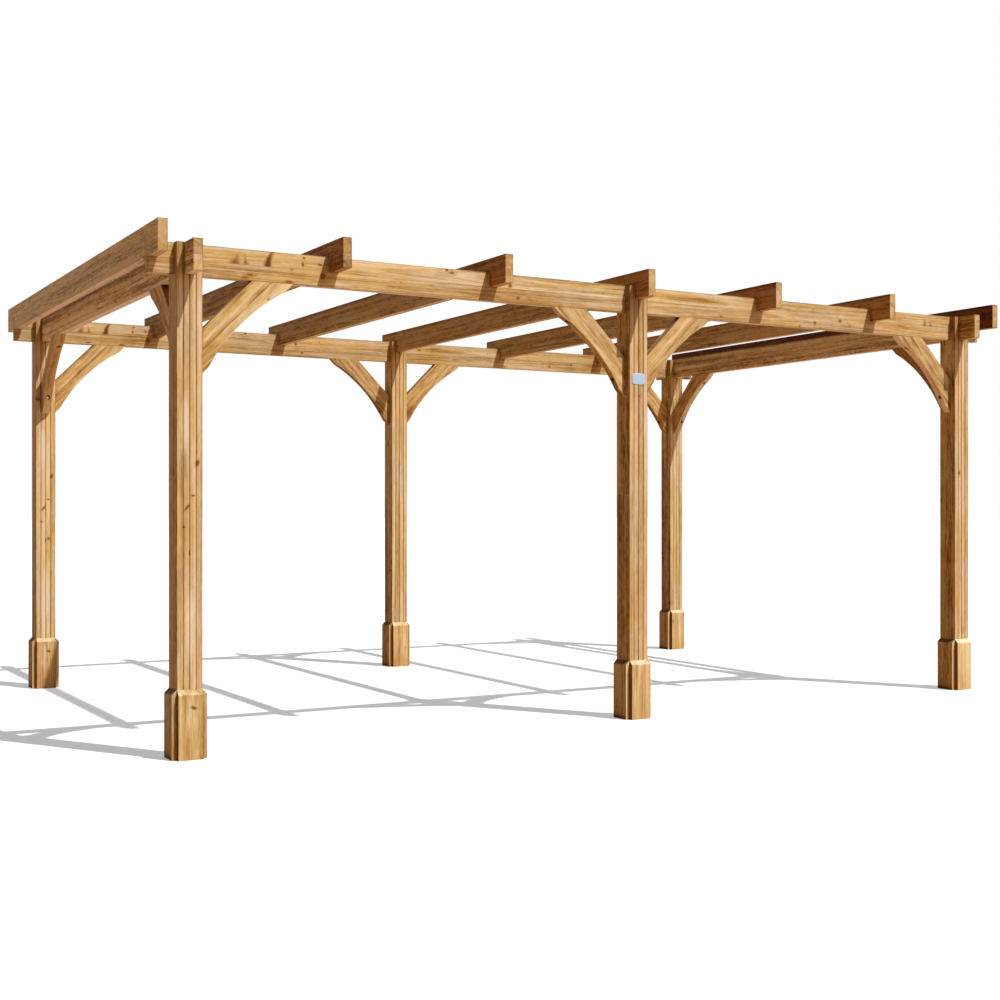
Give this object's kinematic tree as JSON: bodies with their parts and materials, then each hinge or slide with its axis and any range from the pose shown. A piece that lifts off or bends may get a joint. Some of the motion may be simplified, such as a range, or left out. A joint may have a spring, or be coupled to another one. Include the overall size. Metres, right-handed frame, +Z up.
{
  "type": "wooden pergola",
  "caption": "Open timber garden frame: grooved square posts on boarded feet carry slotted-in beams, notched rafters and hollow-edged knee braces.",
  "frame": {"origin": "on the ground, in the middle of the six posts", "axes": "+X along the long side to the right as seen from the front, +Y from front to back, +Z up"},
  "size_m": [5.346, 3.321, 2.4175],
  "materials": {
    "post_timber": "planed softwood, treated golden tan",
    "shoe_timber": "planed softwood, treated golden tan",
    "beam_timber": "planed softwood, treated golden tan",
    "rafter_timber": "planed softwood, treated golden tan",
    "brace_timber": "planed softwood, treated golden tan",
    "screw_zinc": "zinc plated, a little dull",
    "plate_metal": "bare satin plate, cool grey"
  },
  "bodies": {
    "root": {"post_front_left": "post_timber", "post_front_middle": "post_timber", "post_front_right": "post_timber", "post_back_left": "post_timber", "post_back_middle": "post_timber", "post_back_right": "post_timber", "shoe_front_left": "shoe_timber", "shoe_front_middle": "shoe_timber", "shoe_front_right": "shoe_timber", "shoe_back_left": "shoe_timber", "shoe_back_middle": "shoe_timber", "shoe_back_right": "shoe_timber", "beam_front_left": "beam_timber", "beam_front_right": "beam_timber", "beam_back_left": "beam_timber", "beam_back_right": "beam_timber", "side_beam_left": "beam_timber", "side_beam_right": "beam_timber", "rafter_1": "rafter_timber", "rafter_2": "rafter_timber", "rafter_3": "rafter_timber", "rafter_4": "rafter_timber", "rafter_5": "rafter_timber", "rafter_6": "rafter_timber", "rafter_7": "rafter_timber", "brace_front_left": "brace_timber", "brace_front_middle_left": "brace_timber", "brace_front_middle_right": "brace_timber", "brace_front_right": "brace_timber", "brace_back_left": "brace_timber", "brace_back_middle_left": "brace_timber", "brace_back_middle_right": "brace_timber", "brace_back_right": "brace_timber", "brace_left_front": "brace_timber", "brace_left_back": "brace_timber", "brace_right_front": "brace_timber", "brace_right_back": "brace_timber"}
  },
  "joints": []
}
